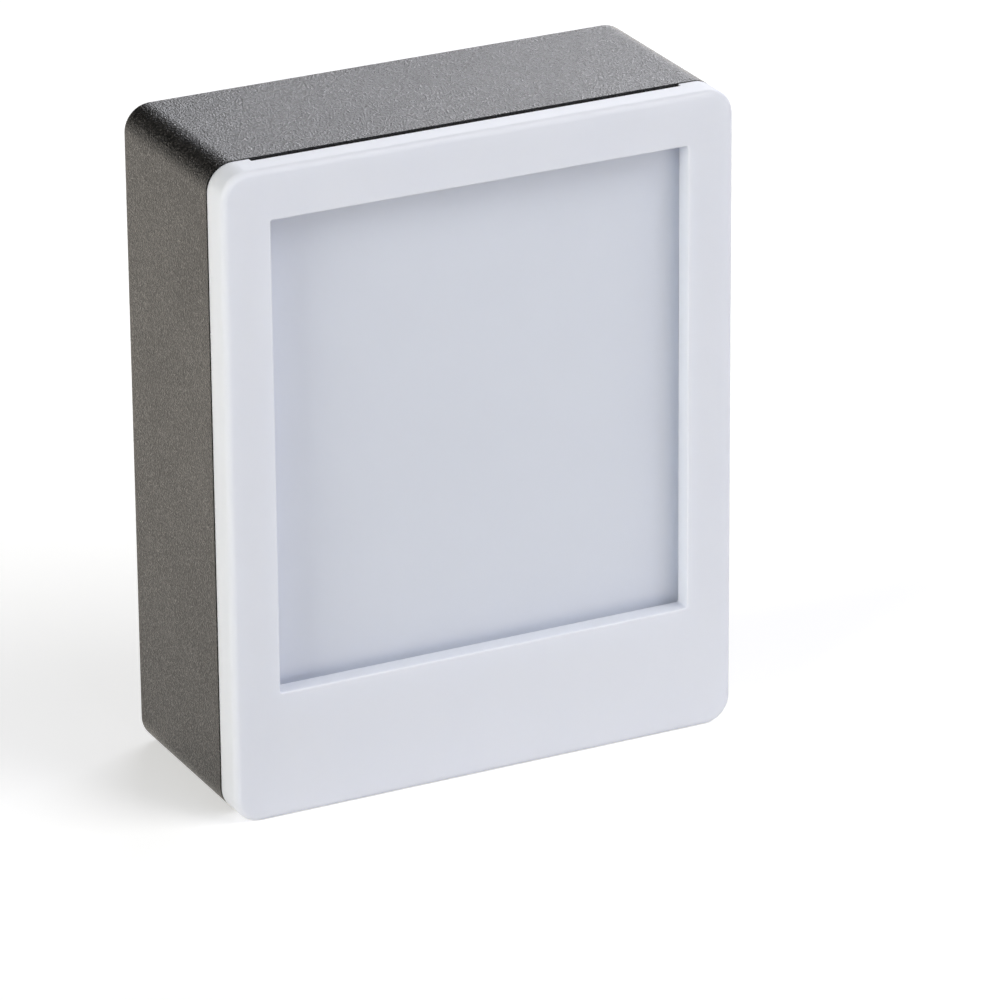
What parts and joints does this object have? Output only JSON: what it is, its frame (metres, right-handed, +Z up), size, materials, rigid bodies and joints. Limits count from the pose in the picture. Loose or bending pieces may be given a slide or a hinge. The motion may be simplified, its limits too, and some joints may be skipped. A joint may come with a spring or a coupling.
{
  "type": "lighted photo frame",
  "caption": "Small deep box photo frame: black housing, milky bezel round a recessed window, a top slot for a photo sheet, a battery backlight, a hinged battery door and a slide switch.",
  "frame": {"origin": "middle of the base, on the surface that the frame stands on", "axes": "+Z up along the frame's height, -Y out of the window towards the viewer, X across the width"},
  "size_m": [0.1, 0.042, 0.123],
  "materials": {
    "black_plastic": "fine spark texture, moulded",
    "milky_plastic": "milky translucent, satin",
    "clear_pane": "clear and glossy",
    "photo_film": "blank translucent film",
    "opal_plastic": "opal",
    "reflector_white": "white, moulded",
    "circuit_board": "solder mask on glass fibre",
    "lamp": "phosphor in a white case, unlit",
    "resistor": "chip resistor",
    "screw_steel": "zinc plated",
    "cell_sleeve": "plain painted sleeve",
    "spring_wire": "nickel plated wire",
    "contact_plate": "nickel plated strip",
    "switch_metal": "tin plated",
    "switch_board": "phenolic",
    "knob_plastic": "moulded",
    "lead_red": "soft insulation",
    "lead_black": "soft insulation"
  },
  "bodies": {
    "case": {"front_bezel": "milky_plastic", "window_pane": "clear_pane", "diffuser_panel": "opal_plastic", "reflector_tray": "reflector_white", "led_board": "circuit_board", "led_1": "lamp", "led_2": "lamp", "led_3": "lamp", "led_4": "lamp", "led_5": "lamp", "led_6": "lamp", "board_resistors": "resistor", "board_screws": "screw_steel", "housing": "black_plastic", "battery_1": "cell_sleeve", "battery_2": "cell_sleeve", "battery_3": "cell_sleeve", "contact_spring_1": "spring_wire", "contact_spring_2": "spring_wire", "contact_spring_3": "spring_wire", "positive_contact": "contact_plate", "negative_contact": "contact_plate", "upper_link": "contact_plate", "lower_link": "contact_plate", "switch_frame": "switch_metal", "switch_body": "switch_board", "switch_terminals": "contact_plate", "switch_screws": "screw_steel", "battery_switch_lead": "lead_red", "switch_board_lead": "lead_red", "battery_board_lead": "lead_black"},
    "photo": {"photo_sheet": "photo_film"},
    "door": {"battery_door": "black_plastic"},
    "knob": {"switch_knob": "knob_plastic"}
  },
  "joints": [
    {"name": "photo_slide", "type": "slide", "parent": "case", "child": "photo", "axis": [0, 0, 1], "range_m": [0, 0.1]},
    {"name": "door_hinge", "type": "hinge", "parent": "case", "child": "door", "pos_m": [0, 0.0195, 0.08885], "axis": [1, 0, 0], "range_deg": [0, 90]},
    {"name": "knob_slide", "type": "slide", "parent": "case", "child": "knob", "axis": [1, 0, 0], "range_m": [0, 0.003]}
  ]
}
